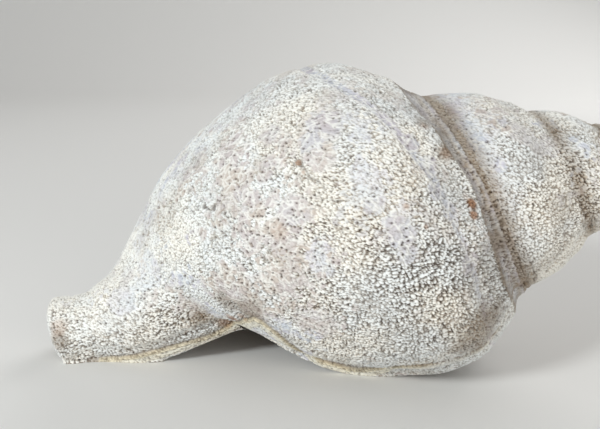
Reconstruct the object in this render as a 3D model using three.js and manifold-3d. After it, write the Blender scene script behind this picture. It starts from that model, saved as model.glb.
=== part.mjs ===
import * as THREE from "three";
import Module from "manifold-3d";

// A horse conch shell, overgrown with a pale crust, lying on its aperture.
// Millimetres, +Z up. The spire points towards +X and rises, the siphonal canal points towards -X.
// The side that is mostly seen is -Y, and the outer lip is on the +Y side. The origin is in the
// middle of the shell's box, on the plane that it rests on.

// The whole shell. "Station" is a distance along the shell's axis, from the point where its growth
// lines would meet.
const LENGTH = 196.3; // to the tip of the canal
const APEX_STATION = 3.5; // the rounded top of the spire
const AXIS_TILT = THREE.MathUtils.degToRad(19.5); // how far the spire end is raised
const PIVOT_STATION = 112; // the axis point that the shell is placed by
const PIVOT_HEIGHT = 33.4; // its height above the resting plane
const BEND_STATION = 100; // the spire bends down a little from here on
const BEND_RADIUS = 720;
const BOX_MIDDLE = { x: 10.46, y: 4.16 }; // middle of the shell's box, measured from the pivot

// Growth. Turn 0 is the crown of the last whorl; turns are counted along the spiral, with negative
// ones back towards the apex. The shell coils to the right, from below over the near side upwards.
const GROWTH_ALONG = 1.64; // stations grow by this in one turn
const GROWTH_ACROSS = 1.56; // radii grow by this in one turn
const LATE_GROWTH = 0.12; // turns' worth of growth that is left after the crown
const LIP_TURN = 0.47; // where the last whorl ends, at the outer lip
const SPIRE_TURNS = 5; // turns above the last whorl

// Outline of a whorl at the crown: station and radius, from below the suture down the base.
const SUTURE_STATION = 67.4;
const WHORL_OUTLINE = [
  [70, 35.5],
  [74.5, 39.8],
  [85, 48.8],
  [91, 52.2],
  [100, 53.7],
  [110, 53.4],
  [122, 49.9],
  [134, 45.4],
  [146, 38.8],
  [153, 33.4],
  [168, 18.6],
];
const SHOULDER_STATION = 76;
const KNOBS_PER_TURN = 9.25;
const KNOB_HEIGHT = 1.6;
const KNOB_WIDTH = 5;

// The whorls of the spire are flatter between their sutures than the last one.
const FLATTENING = 3.4;
const FLATTER_FROM = -0.45;
const FLATTER_TO = -0.85;

// Siphonal canal, into which the base runs out: station and radius. It narrows, then flares and
// lifts a little at its end.
const CANAL_OUTLINE = [
  [135, 13],
  [165, 14.7],
  [176, 13.8],
  [186, 11],
  [196.3, 12.5],
];
const CANAL_LIFT = 0.8;
const CANAL_LIFT_STATION = 172;
const BASE_TO_CANAL = 3.5; // how softly the base runs into the canal
const MERGED_STATION = 184; // only the canal is left from here on
const TIP_ROUNDING = 2;

// Rim along the near edge of the aperture, with a groove above it: station and height.
const RIM_TURN = -0.436;
const RIM_OUTLINE = [
  [64, 0.4],
  [80, 1.0],
  [100, 2.2],
  [116, 3.8],
  [128, 5.0],
  [136, 4.2],
  [142, 2.0],
  [150, 1.7],
  [170, 2.3],
];
const RIM_START = 64;
const RIM_END = 169;
const RIM_WIDTH = 3.0;
const GROOVE_OFFSET = 7.5;
const GROOVE_DEPTH = 1.2;
const GROOVE_WIDTH = 1.7;
const GROOVE_FULL_RADIUS = 20; // the groove is shallower where the shell is thinner than this

// Inside of the shell.
const WALL = 3.2;
const INNER_LAYER = 0.8; // over the whorl before
const COLUMELLA_RADIUS = 9;
const LEAST_GAP = 2.5; // where the hollow ends, towards the suture and towards the canal
const THIN_SCALE = 0.8; // the wall is thinner in whorls that are smaller than this
const HOLLOW_TURNS = 1.55;
const HOLLOW_REACH = 0.004; // how far past the lip the hollow is cut, in turns
const HOLLOW_OVERLAP = 0.002; // between the two lengths that it is cut in
const BORE_RADIUS = 5;
const SLIT_WIDTH = 4.5;
const SLIT_REACH = 24; // long enough to come out below
// The bore's way: its stations, distances from the shell's axis and turns.
const BORE_STATIONS = [164, 170, 176, 182, 188, 196, 204];
const BORE_OFFSETS = [17, 14.5, 11.5, 8.5, 6, 4, 3.2];
const BORE_TURNS = [0.4, 0.405, 0.415, 0.43, 0.445, 0.46, 0.47];

// Fineness of the facets.
const COARSE_COLUMNS = 46;
const FINE_STEP = 0.009;
const FINE_FROM = -0.475;
const FINE_TO = -0.385;
const SPIRE_LEVELS = [67.4, 70, 74.5, 80, 89, 99];
const BASE_ROWS = 14;
const CANAL_ROWS = [184, 188, 191.5, 194.5, LENGTH];
const HOLLOW_STEP = 1 / 30;
const HOLLOW_POINTS = 10;
const WALL_SAMPLES = 60;
const WALL_SAMPLE_STEP = 2;
const SEARCH_STEP = 0.25;
const BORE_POINTS = 12;

const NEXT_SUTURE = SUTURE_STATION * GROWTH_ALONG;

function clamp01(value) {
  return THREE.MathUtils.clamp(value, 0, 1);
}

// The larger of two radii, with a soft passage between them.
function smoothMax(a, b, softness) {
  const share = clamp01(0.5 + (0.5 * (a - b)) / softness);
  return b * (1 - share) + a * share + softness * share * (1 - share);
}

function bell(distance, width) {
  return Math.exp(-((distance / width) ** 2));
}

// A smooth curve through the points of an outline, straight beyond its last one.
function outlineRadius(points, station) {
  const last = points.length - 1;
  const slopeAt = (i) => {
    const before = points[Math.max(i - 1, 0)];
    const after = points[Math.min(i + 1, last)];
    return (after[1] - before[1]) / (after[0] - before[0]);
  };
  if (station >= points[last][0]) {
    return points[last][1] + slopeAt(last) * (station - points[last][0]);
  }
  let i = 0;
  while (i < last - 1 && station > points[i + 1][0]) {
    i += 1;
  }
  const [x0, y0] = points[i];
  const [x1, y1] = points[i + 1];
  const span = x1 - x0;
  const s = (station - x0) / span;
  const rise = (1 + 2 * s) * (1 - s) ** 2 * y0 + s * s * (3 - 2 * s) * y1;
  return rise + span * (s * (1 - s) ** 2 * slopeAt(i) - s * s * (1 - s) * slopeAt(i + 1));
}

// A whorl starts on the one before it, so its first radius follows from the rest of the outline.
const SUTURE_RADIUS = outlineRadius(WHORL_OUTLINE, NEXT_SUTURE) / GROWTH_ACROSS;
const FULL_OUTLINE = [[SUTURE_STATION, SUTURE_RADIUS], ...WHORL_OUTLINE];

// Scale of the whorl at a turn. Growth eases off on the hidden side, before the lip.
function growth(turn) {
  const grown = turn > 0 ? LATE_GROWTH * (1 - Math.exp(-turn / LATE_GROWTH)) : turn;
  return { along: GROWTH_ALONG ** grown, across: GROWTH_ACROSS ** grown };
}

// Station and radius of the whorl's outside, at a level of its outline and a turn. Where growth has
// eased off, the suture still keeps to the whorl before it.
function whorlPoint(level, turn) {
  const { along, across } = growth(turn);
  const wave = -Math.sin(2 * Math.PI * KNOBS_PER_TURN * turn);
  const knob = KNOB_HEIGHT * bell(level - SHOULDER_STATION, KNOB_WIDTH) * wave;
  const between = clamp01((level - SUTURE_STATION) / (NEXT_SUTURE - SUTURE_STATION));
  const flatter = FLATTENING * clamp01((turn - FLATTER_FROM) / (FLATTER_TO - FLATTER_FROM));
  const held = (1 - between) ** 2;
  const station = level * along + held * SUTURE_STATION * (GROWTH_ALONG ** turn - along);
  const radius =
    (outlineRadius(FULL_OUTLINE, level) + knob - flatter * Math.sin(Math.PI * between)) * across +
    held * SUTURE_RADIUS * (GROWTH_ACROSS ** turn - across);
  return [station, radius];
}

function canalRadius(station) {
  const rounding = clamp01((station - (LENGTH - TIP_ROUNDING)) / TIP_ROUNDING) ** 2 * TIP_ROUNDING;
  return outlineRadius(CANAL_OUTLINE, Math.min(station, LENGTH)) - rounding;
}

// Radius of the base at a station, before it runs into the canal.
function baseRadius(station, turn) {
  const { along, across } = growth(turn);
  return outlineRadius(FULL_OUTLINE, station / along) * across;
}

// The rim of the aperture and the groove above it, by the distance round the shell from the rim.
function rimRelief(station, radius, turn) {
  const around = -2 * Math.PI * (turn - RIM_TURN) * radius;
  const height = outlineRadius(RIM_OUTLINE, THREE.MathUtils.clamp(station, RIM_START, RIM_END));
  const groove = GROOVE_DEPTH * Math.min(1, radius / GROOVE_FULL_RADIUS);
  return height * bell(around, RIM_WIDTH) - groove * bell(around + GROOVE_OFFSET, GROOVE_WIDTH);
}

// From station, radius and turn to the shell's place in the world.
function place(station, radius, turn) {
  const angle = 2 * Math.PI * turn;
  const lift = CANAL_LIFT * clamp01((station - CANAL_LIFT_STATION) / (LENGTH - CANAL_LIFT_STATION)) ** 2;
  const bend = Math.max(0, BEND_STATION - station) / BEND_RADIUS;
  const bendRadius = BEND_RADIUS + radius * Math.cos(angle) + lift;
  const ahead = PIVOT_STATION - Math.max(station, BEND_STATION) + bendRadius * Math.sin(bend);
  const up = bendRadius * Math.cos(bend) - BEND_RADIUS;
  return new THREE.Vector3(
    ahead * Math.cos(AXIS_TILT) - up * Math.sin(AXIS_TILT) - BOX_MIDDLE.x,
    radius * Math.sin(angle) - BOX_MIDDLE.y,
    ahead * Math.sin(AXIS_TILT) + up * Math.cos(AXIS_TILT) + PIVOT_HEIGHT,
  );
}

// The turns of the facets' columns in one turn, closer together along the rim of the aperture.
function columnTurns() {
  const first = LIP_TURN - 1;
  const spread = (from, to, step) => {
    const count = Math.round((to - from) / step);
    return Array.from({ length: count }, (_, i) => from + ((to - from) * i) / count);
  };
  const coarse = 1 / COARSE_COLUMNS;
  return [
    ...spread(first, FINE_FROM, coarse),
    ...spread(FINE_FROM, FINE_TO, FINE_STEP),
    ...spread(FINE_TO, LIP_TURN, coarse),
  ];
}

// Places and triangles collected for one closed body.
class Body {
  constructor() {
    this.places = [];
    this.triangles = [];
  }

  point(place) {
    this.places.push(place);
    return this.places.length - 1;
  }

  quad(a, b, c, d) {
    this.triangles.push([a, b, c], [a, c, d]);
  }

  // A flat cap on a ring of points, whose outline in its own plane is given too.
  cap(ring, outline, reversed) {
    const flat = outline.map(([x, y]) => new THREE.Vector2(x, y));
    for (const [a, b, c] of THREE.ShapeUtils.triangulateShape(flat, [])) {
      this.triangles.push(reversed ? [ring[c], ring[b], ring[a]] : [ring[a], ring[b], ring[c]]);
    }
  }

  volume() {
    const six = this.triangles.map(([a, b, c]) => {
      const side = this.places[b].clone().cross(this.places[c]);
      return this.places[a].dot(side);
    });
    return six.reduce((sum, value) => sum + value, 0) / 6;
  }

  manifold(wasm) {
    const inward = this.volume() < 0;
    const order = this.triangles.map(([a, b, c]) => (inward ? [a, c, b] : [a, b, c]));
    const mesh = new wasm.Mesh({
      numProp: 3,
      vertProperties: new Float32Array(this.places.flatMap((p) => [p.x, p.y, p.z])),
      triVerts: new Uint32Array(order.flat()),
    });
    return new wasm.Manifold(mesh);
  }
}

// The outside, as one solid with its mouth closed by a flat face from the axis to the lip. The
// whorls are one strip of facets: each row of a whorl's end is the suture row of the next whorl.
function makeOutside() {
  const body = new Body();
  const turnsOfOne = columnTurns();
  const perTurn = turnsOfOne.length;
  const lastStart = SPIRE_TURNS * perTurn;
  const columnCount = lastStart + perTurn + 1;
  const turnOf = (i) => turnsOfOne[i % perTurn] + Math.floor(i / perTurn) - SPIRE_TURNS;
  const spireRows = SPIRE_LEVELS.length;
  const mergedRow = spireRows + BASE_ROWS;
  const tipRow = mergedRow + CANAL_ROWS.length - 1;
  const rows = Array.from({ length: columnCount }, () => []);
  const flat = new Map();

  const add = (station, radius, turn) => {
    const index = body.point(place(station, radius, turn));
    flat.set(index, [station, radius]);
    return index;
  };
  const baseStation = (turn, row) => {
    const from = NEXT_SUTURE * growth(turn).along;
    return from + ((MERGED_STATION - from) * (row - spireRows)) / BASE_ROWS;
  };
  const outsidePoint = (row, turn) => {
    const relief = (station, radius) => radius + rimRelief(station, radius, turn);
    if (row < spireRows) {
      const [station, radius] = whorlPoint(SPIRE_LEVELS[row], turn);
      return [station, row === 0 ? radius : relief(station, radius)];
    }
    if (row < mergedRow) {
      const station = baseStation(turn, row);
      const radius = smoothMax(baseRadius(station, turn), canalRadius(station), BASE_TO_CANAL);
      return [station, relief(station, radius)];
    }
    const station = CANAL_ROWS[row - mergedRow];
    return [station, relief(station, canalRadius(station))];
  };

  for (let i = 0; i < columnCount; i += 1) {
    const turn = turnOf(i);
    const onLast = i >= lastStart;
    const isLip = i === columnCount - 1;
    const lastRow = onLast ? tipRow : spireRows - 1;
    for (let row = 0; row <= lastRow; row += 1) {
      if (row === 0 && i >= perTurn) {
        if (i - perTurn >= lastStart) {
          rows[i][0] = rows[i - perTurn][spireRows];
        } else {
          rows[i][0] = add(...whorlPoint(SPIRE_LEVELS[0], turn), turn);
          rows[i - perTurn][spireRows] = rows[i][0];
        }
      } else if (isLip && row >= mergedRow) {
        rows[i][row] = rows[lastStart][row];
      } else if (rows[i][row] === undefined) {
        const [station, radius] = onLast
          ? outsidePoint(row, turn)
          : whorlPoint(SPIRE_LEVELS[row], turn);
        rows[i][row] = add(station, radius, turn);
      }
    }
  }

  for (let i = 0; i < columnCount - 1; i += 1) {
    const lastRow = i >= lastStart ? tipRow : spireRows;
    for (let row = 0; row < lastRow; row += 1) {
      body.quad(rows[i][row], rows[i + 1][row], rows[i + 1][row + 1], rows[i][row + 1]);
    }
  }

  const apex = body.point(place(APEX_STATION, 0, 0));
  for (let i = 0; i < perTurn; i += 1) {
    body.triangles.push([apex, rows[i + 1][0], rows[i][0]]);
  }
  for (let row = 0; row < spireRows; row += 1) {
    body.triangles.push([apex, rows[0][row], rows[0][row + 1]]);
  }
  const tip = body.point(place(LENGTH, 0, 0));
  for (let i = lastStart; i < columnCount - 1; i += 1) {
    body.triangles.push([tip, rows[i][tipRow], rows[i + 1][tipRow]]);
  }
  const lip = rows[columnCount - 1].slice(0, mergedRow + 1);
  const under = rows[lastStart].slice(spireRows + 1, mergedRow).reverse();
  const mouth = [...lip, ...under];
  body.cap(mouth, mouth.map((index) => flat.get(index)), false);
  return body;
}

// One section of the hollow: the wall of the whorl on the outside, the whorl before on the inside.
function hollowSection(turn) {
  const { along, across } = growth(turn);
  const before = growth(turn - 1);
  const levels = Array.from({ length: WALL_SAMPLES }, (_, i) => SUTURE_STATION + WALL_SAMPLE_STEP * i);
  const outside = levels.map((level) => whorlPoint(level, turn));
  const wall = WALL * Math.min(1, across / THIN_SCALE);
  const outer = (station) => outlineRadius(outside, station) - wall;
  const inner = (station) => {
    const whorl = outlineRadius(FULL_OUTLINE, station / before.along) * before.across;
    return Math.max(whorl + INNER_LAYER, COLUMELLA_RADIUS * across);
  };
  const isOpen = (station) => outer(station) - inner(station) > LEAST_GAP;
  let from = SHOULDER_STATION * along;
  while (!isOpen(from)) {
    from += SEARCH_STEP;
  }
  let to = from;
  while (isOpen(to + SEARCH_STEP)) {
    to += SEARCH_STEP;
  }
  const stations = Array.from(
    { length: HOLLOW_POINTS },
    (_, i) => from + ((to - from) * i) / (HOLLOW_POINTS - 1),
  );
  return [
    ...stations.map((station) => [station, outer(station)]),
    ...stations.reverse().map((station) => [station, inner(station)]),
  ];
}

// A closed body through a row of rings, each given as an outline and a way to place it.
function loft(outlines, placers) {
  const body = new Body();
  const rings = outlines.map((outline, i) => outline.map((xy) => body.point(placers[i](xy))));
  const count = rings[0].length;
  for (let i = 0; i < rings.length - 1; i += 1) {
    for (let j = 0; j < count; j += 1) {
      const next = (j + 1) % count;
      body.quad(rings[i][j], rings[i][next], rings[i + 1][next], rings[i + 1][j]);
    }
  }
  const last = rings.length - 1;
  const turned = THREE.ShapeUtils.area(outlines[0].map(([x, y]) => new THREE.Vector2(x, y))) < 0;
  body.cap(rings[0], outlines[0], !turned);
  body.cap(rings[last], outlines[last], turned);
  return body;
}

function makeHollow(fromTurn, toTurn) {
  const count = Math.ceil((toTurn - fromTurn) / HOLLOW_STEP);
  const step = (toTurn - fromTurn) / count;
  const turns = Array.from({ length: count + 1 }, (_, i) => fromTurn + step * i);
  const placers = turns.map((turn) => ([station, radius]) => place(station, radius, turn));
  return loft(turns.map(hollowSection), placers);
}

// The siphonal canal: a bore that leaves the hollow beside the columella, with a slit down its
// underside, so that each section is a keyhole.
function makeCanal() {
  const halfSlit = SLIT_WIDTH / 2;
  const open = Math.asin(halfSlit / BORE_RADIUS);
  const round = Array.from({ length: BORE_POINTS }, (_, i) => {
    const angle = open + ((2 * Math.PI - 2 * open) * i) / (BORE_POINTS - 1);
    return [BORE_RADIUS * Math.cos(angle), BORE_RADIUS * Math.sin(angle)];
  });
  const outlines = BORE_OFFSETS.map((offset) => {
    const bore = round.map(([out, side]) => [out + offset, side]);
    return [...bore, [SLIT_REACH + offset, -halfSlit], [SLIT_REACH + offset, halfSlit]];
  });
  const placers = BORE_STATIONS.map((station, i) => ([out, side]) => {
    const radius = Math.hypot(out, side);
    return place(station, radius, BORE_TURNS[i] + Math.atan2(side, out) / (2 * Math.PI));
  });
  return loft(outlines, placers);
}

// Everything below the plane that the shell rests on.
function makeUnderside() {
  const size = 2 * LENGTH;
  const box = new THREE.BoxGeometry(size, size, size);
  box.translate(0, 0, -size / 2);
  const corner = new THREE.Vector3();
  const body = new Body();
  const known = new Map();
  const indexOf = (i) => {
    corner.fromBufferAttribute(box.attributes.position, box.index.getX(i));
    const key = corner.toArray().join();
    if (!known.has(key)) {
      known.set(key, body.point(corner.clone()));
    }
    return known.get(key);
  };
  for (let i = 0; i < box.index.count; i += 3) {
    body.triangles.push([indexOf(i), indexOf(i + 1), indexOf(i + 2)]);
  }
  return body;
}

function makeShell(wasm) {
  const mouthTurn = LIP_TURN + HOLLOW_REACH;
  const innermost = mouthTurn - HOLLOW_TURNS;
  const middle = mouthTurn - HOLLOW_TURNS / 2;
  const tools = [
    makeUnderside(),
    makeHollow(middle, mouthTurn),
    makeHollow(innermost, middle + HOLLOW_OVERLAP),
    makeCanal(),
  ];
  const outside = makeOutside().manifold(wasm);
  return tools.reduce((solid, tool) => solid.subtract(tool.manifold(wasm)), outside);
}

function meshOf(solid, name, material) {
  const { vertProperties, triVerts, numProp } = solid.getMesh();
  const positions = [];
  for (let i = 0; i < vertProperties.length; i += numProp) {
    positions.push(vertProperties[i], vertProperties[i + 1], vertProperties[i + 2]);
  }
  const geometry = new THREE.BufferGeometry();
  geometry.setAttribute("position", new THREE.Float32BufferAttribute(positions, 3));
  geometry.setIndex(Array.from(triVerts));
  geometry.computeVertexNormals();
  const mesh = new THREE.Mesh(geometry, material);
  mesh.name = name;
  return mesh;
}

const wasm = await Module();
wasm.setup();

const crustedShell = new THREE.MeshStandardMaterial({
  color: "#d3d4ce",
  roughness: 0.85,
  metalness: 0,
});

const group = new THREE.Group();
group.add(meshOf(makeShell(wasm), "conch_shell", crustedShell));

export default group;
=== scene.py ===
import math

import bpy
import numpy as np
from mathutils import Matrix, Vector
from mathutils.bvhtree import BVHTree


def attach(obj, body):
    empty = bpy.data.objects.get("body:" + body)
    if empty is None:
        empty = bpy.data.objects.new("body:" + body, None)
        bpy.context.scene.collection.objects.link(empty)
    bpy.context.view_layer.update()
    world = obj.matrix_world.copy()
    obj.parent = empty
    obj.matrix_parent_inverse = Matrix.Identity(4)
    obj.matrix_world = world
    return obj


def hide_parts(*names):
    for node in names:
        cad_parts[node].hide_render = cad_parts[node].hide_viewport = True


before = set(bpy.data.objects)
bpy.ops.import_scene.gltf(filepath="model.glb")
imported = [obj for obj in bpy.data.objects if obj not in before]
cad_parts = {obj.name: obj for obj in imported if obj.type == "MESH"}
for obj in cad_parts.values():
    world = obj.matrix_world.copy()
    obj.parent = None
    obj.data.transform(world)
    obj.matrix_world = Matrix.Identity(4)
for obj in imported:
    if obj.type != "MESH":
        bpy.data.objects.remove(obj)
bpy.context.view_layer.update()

NODE = "conch_shell"
MM = 0.001

# ---------------------------------------------------------------- the shell's outside, in mm
# "Station" is a distance along the shell's axis from the point where its growth lines would meet.
# Turn 0 is the crown of the last whorl, and negative turns lead back towards the apex.
LENGTH = 196.3
AXIS_TILT = math.radians(19.5)
PIVOT_STATION, PIVOT_HEIGHT = 112.0, 33.4
BEND_STATION, BEND_RADIUS = 100.0, 720.0
BOX_MIDDLE = (10.46, 4.16)
GROWTH_ALONG, GROWTH_ACROSS, LATE_GROWTH = 1.64, 1.56, 0.12
LIP_TURN = 0.47
SUTURE_STATION = 67.4
WHORL_OUTLINE = [(70, 35.5), (74.5, 39.8), (85, 48.8), (91, 52.2), (100, 53.7), (110, 53.4),
                 (122, 49.9), (134, 45.4), (146, 38.8), (153, 33.4), (168, 18.6)]
SHOULDER_STATION, KNOBS_PER_TURN, KNOB_HEIGHT, KNOB_WIDTH = 76.0, 9.25, 1.6, 5.0
FLATTENING, FLATTER_FROM, FLATTER_TO = 3.4, -0.45, -0.85
CANAL_OUTLINE = [(135, 13), (165, 14.7), (176, 13.8), (186, 11), (196.3, 12.5)]
CANAL_LIFT, CANAL_LIFT_STATION, BASE_TO_CANAL, TIP_ROUNDING = 0.8, 172.0, 3.5, 2.0
RIM_TURN = -0.436
RIM_OUTLINE = [(64, 0.4), (80, 1.0), (100, 2.2), (116, 3.8), (128, 5.0), (136, 4.2),
               (142, 2.0), (150, 1.7), (170, 2.3)]
RIM_START, RIM_END, RIM_WIDTH = 64.0, 169.0, 3.0
GROOVE_OFFSET, GROOVE_DEPTH, GROOVE_WIDTH, GROOVE_FULL_RADIUS = 7.5, 1.2, 1.7, 20.0
NEXT_SUTURE = SUTURE_STATION * GROWTH_ALONG
LAST_WHORL_FROM = LIP_TURN - 1.0001
RIM_FADE_IN = 2.6
LEAST_ROW = -0.05
TINY = 1e-12


def outline_radius(points, station):
    """A smooth curve through the points of an outline, straight beyond its last one."""
    x, y = np.array(points, float).T
    slope = np.empty(len(x))
    slope[1:-1] = (y[2:] - y[:-2]) / (x[2:] - x[:-2])
    slope[0] = (y[1] - y[0]) / (x[1] - x[0])
    slope[-1] = (y[-1] - y[-2]) / (x[-1] - x[-2])
    station = np.asarray(station, float)
    i = np.clip(np.searchsorted(x, station) - 1, 0, len(x) - 2)
    span = x[i + 1] - x[i]
    s = (station - x[i]) / span
    curve = (1 + 2 * s) * (1 - s) ** 2 * y[i] + s * s * (3 - 2 * s) * y[i + 1]
    curve = curve + span * (s * (1 - s) ** 2 * slope[i] - s * s * (1 - s) * slope[i + 1])
    return np.where(station >= x[-1], y[-1] + slope[-1] * (station - x[-1]), curve)


SUTURE_RADIUS = float(outline_radius(WHORL_OUTLINE, NEXT_SUTURE)) / GROWTH_ACROSS
FULL_OUTLINE = [(SUTURE_STATION, SUTURE_RADIUS)] + WHORL_OUTLINE


def unit(value):
    return np.clip(value, 0, 1)


def smooth(low, high, value):
    """A soft passage from 0 at low to 1 at high, where low may be the larger of the two."""
    s = unit((value - low) / (high - low))
    return s * s * (3 - 2 * s)


def bell(distance, width):
    return np.exp(-((distance / width) ** 2))


def smooth_max(a, b, softness):
    share = unit(0.5 + 0.5 * (a - b) / softness)
    return b * (1 - share) + a * share + softness * share * (1 - share)


def growth(turn):
    grown = np.where(turn > 0, LATE_GROWTH * (1 - np.exp(-np.maximum(turn, 0) / LATE_GROWTH)), turn)
    return GROWTH_ALONG ** grown, GROWTH_ACROSS ** grown


def whorl_point(level, turn):
    along, across = growth(turn)
    wave = -np.sin(2 * np.pi * KNOBS_PER_TURN * turn)
    knob = KNOB_HEIGHT * bell(level - SHOULDER_STATION, KNOB_WIDTH) * wave
    between = unit((level - SUTURE_STATION) / (NEXT_SUTURE - SUTURE_STATION))
    flatter = FLATTENING * unit((turn - FLATTER_FROM) / (FLATTER_TO - FLATTER_FROM))
    held = (1 - between) ** 2
    station = level * along + held * SUTURE_STATION * (GROWTH_ALONG ** turn - along)
    radius = outline_radius(FULL_OUTLINE, level) + knob - flatter * np.sin(np.pi * between)
    return station, radius * across + held * SUTURE_RADIUS * (GROWTH_ACROSS ** turn - across)


def canal_radius(station):
    rounding = unit((station - (LENGTH - TIP_ROUNDING)) / TIP_ROUNDING) ** 2 * TIP_ROUNDING
    return outline_radius(CANAL_OUTLINE, np.minimum(station, LENGTH)) - rounding


def rim_relief(station, radius, turn):
    around = -2 * np.pi * (turn - RIM_TURN) * radius
    height = outline_radius(RIM_OUTLINE, np.clip(station, RIM_START, RIM_END))
    groove = GROOVE_DEPTH * np.minimum(1, radius / GROOVE_FULL_RADIUS)
    return height * bell(around, RIM_WIDTH) - groove * bell(around + GROOVE_OFFSET, GROOVE_WIDTH)


def place(station, radius, turn):
    angle = 2 * np.pi * turn
    lift = CANAL_LIFT * unit((station - CANAL_LIFT_STATION) / (LENGTH - CANAL_LIFT_STATION)) ** 2
    bend = np.maximum(0, BEND_STATION - station) / BEND_RADIUS
    bend_radius = BEND_RADIUS + radius * np.cos(angle) + lift
    ahead = PIVOT_STATION - np.maximum(station, BEND_STATION) + bend_radius * np.sin(bend)
    up = bend_radius * np.cos(bend) - BEND_RADIUS
    return np.stack([ahead * np.cos(AXIS_TILT) - up * np.sin(AXIS_TILT) - BOX_MIDDLE[0],
                     radius * np.sin(angle) - BOX_MIDDLE[1],
                     ahead * np.sin(AXIS_TILT) + up * np.cos(AXIS_TILT) + PIVOT_HEIGHT], -1)


def outside(row, turn):
    """Station and radius on the outside. Rows 0 to 1 run over a whorl from suture to suture,
    rows 1 to 2 down the base to the canal's tip, and rows 2 to 3 over the tip to the axis."""
    along, across = growth(turn)
    level = SUTURE_STATION + (NEXT_SUTURE - SUTURE_STATION) * row
    station, radius = whorl_point(level, turn)
    first = NEXT_SUTURE * along
    down = first + (LENGTH - first) * unit(row - 1)
    base = outline_radius(FULL_OUTLINE, down / along) * across
    base = smooth_max(base, canal_radius(down), BASE_TO_CANAL)
    below = row > 1
    on_last = turn > LAST_WHORL_FROM
    station = np.where(below & on_last, down, station)
    radius = np.where(below & on_last, base, radius)
    fade = unit((level - SUTURE_STATION) / RIM_FADE_IN)
    radius = radius + np.where(on_last, rim_relief(station, radius, turn) * fade, 0)
    return station, radius * (1 - unit(row - 2))


def outside_place(row, turn):
    return place(*outside(row, turn), turn)


def outside_normal(row, turn):
    step_row, step_turn = 0.004, 0.0006
    low_row = np.maximum(row - step_row, LEAST_ROW)
    along_rows = outside_place(row + step_row, turn) - outside_place(low_row, turn)
    along_turns = outside_place(row, turn + step_turn) - outside_place(row, turn - step_turn)
    normal = np.cross(along_rows, along_turns)
    return normal / (np.linalg.norm(normal, axis=-1, keepdims=True) + TINY)


# ---------------------------------------------------------------- repeatable randomness
HASH_X, HASH_Y, HASH_Z = np.uint32(0x8DA6B343), np.uint32(0xD8163841), np.uint32(0xCB1AB31F)
HASH_FIRST, HASH_SECOND = np.uint32(0x7FEB352D), np.uint32(0x846CA68B)
SALT_STEP, SALT_START, LOW_BITS = 0x9E3779B1, 0x7F4A7C15, 0xFFFFFFFF
CORNERS = [(x, y, z) for x in (0, 1) for y in (0, 1) for z in (0, 1)]
NEIGHBOURS = [(x, y, z) for x in (-1, 0, 1) for y in (-1, 0, 1) for z in (-1, 0, 1)]
OCTAVE_SHIFT, NOISE_GAIN = 31.7, 1.6
CELL_JITTER, NOTHING_NEAR, CHANCE_SPREAD = 0.85, 9.0, 7.13


def hashed(x, y, z, salt):
    """A random number from 0 to 1 for every whole-numbered cell of space."""
    with np.errstate(over="ignore"):
        h = x.astype(np.uint32) * HASH_X
        h ^= y.astype(np.uint32) * HASH_Y
        h ^= z.astype(np.uint32) * HASH_Z
        h += np.uint32((salt * SALT_STEP + SALT_START) & LOW_BITS)
        h ^= h >> np.uint32(16)
        h *= HASH_FIRST
        h ^= h >> np.uint32(15)
        h *= HASH_SECOND
        h ^= h >> np.uint32(16)
    return h.astype(np.float32) * np.float32(2.0 ** -32)


def soft_noise(points, size, salt, octaves):
    """Smooth noise from about -1 to 1, with features of a size in mm."""
    total = np.zeros(len(points), np.float32)
    weight_sum, weight = 0.0, 1.0
    for octave in range(octaves):
        p = points / (size / 2 ** octave) + OCTAVE_SHIFT * octave
        cell = np.floor(p).astype(np.int64)
        s = (p - cell).astype(np.float32)
        s = s * s * (3 - 2 * s)
        value = np.zeros(len(points), np.float32)
        for dx, dy, dz in CORNERS:
            corner = hashed(cell[:, 0] + dx, cell[:, 1] + dy, cell[:, 2] + dz, salt + octave)
            share = np.where(dx, s[:, 0], 1 - s[:, 0]) * np.where(dy, s[:, 1], 1 - s[:, 1])
            value += corner * share * np.where(dz, s[:, 2], 1 - s[:, 2])
        total += weight * (2 * value - 1)
        weight_sum += weight
        weight *= 0.5
    return total / weight_sum * NOISE_GAIN


def soft_vectors(points, size, salt):
    return np.stack([soft_noise(points, size, salt + k, 1) for k in range(3)], 1)


def cells(points, size, salt):
    """Distances, in cells, to the three nearest random points, and the nearest one's chance."""
    p = (points / size).astype(np.float32)
    cell = np.floor(p).astype(np.int64)
    first, second, third = (np.full(len(points), NOTHING_NEAR, np.float32) for _ in range(3))
    chance = np.zeros(len(points), np.float32)
    for dx, dy, dz in NEIGHBOURS:
        x, y, z = cell[:, 0] + dx, cell[:, 1] + dy, cell[:, 2] + dz
        own = hashed(x, y, z, salt)
        away = (x + 0.5 + CELL_JITTER * (own - 0.5) - p[:, 0]) ** 2
        away += (y + 0.5 + CELL_JITTER * (hashed(x, y, z, salt + 1) - 0.5) - p[:, 1]) ** 2
        away += (z + 0.5 + CELL_JITTER * (hashed(x, y, z, salt + 2) - 0.5) - p[:, 2]) ** 2
        away = np.sqrt(away)
        closer = away < first
        third = np.minimum(third, np.maximum(second, away))
        second = np.minimum(second, np.maximum(first, away))
        chance = np.where(closer, own, chance)
        first = np.where(closer, away, first)
    return first, second, third, (chance * CHANCE_SPREAD) % 1


# ---------------------------------------------------------------- sheets of fine triangles
SAMPLES_ALONG = 4000
LEAST_RADIUS, HALVE_EARLIER, MOST_HALVINGS = 0.3, 0.35, 5


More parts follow.
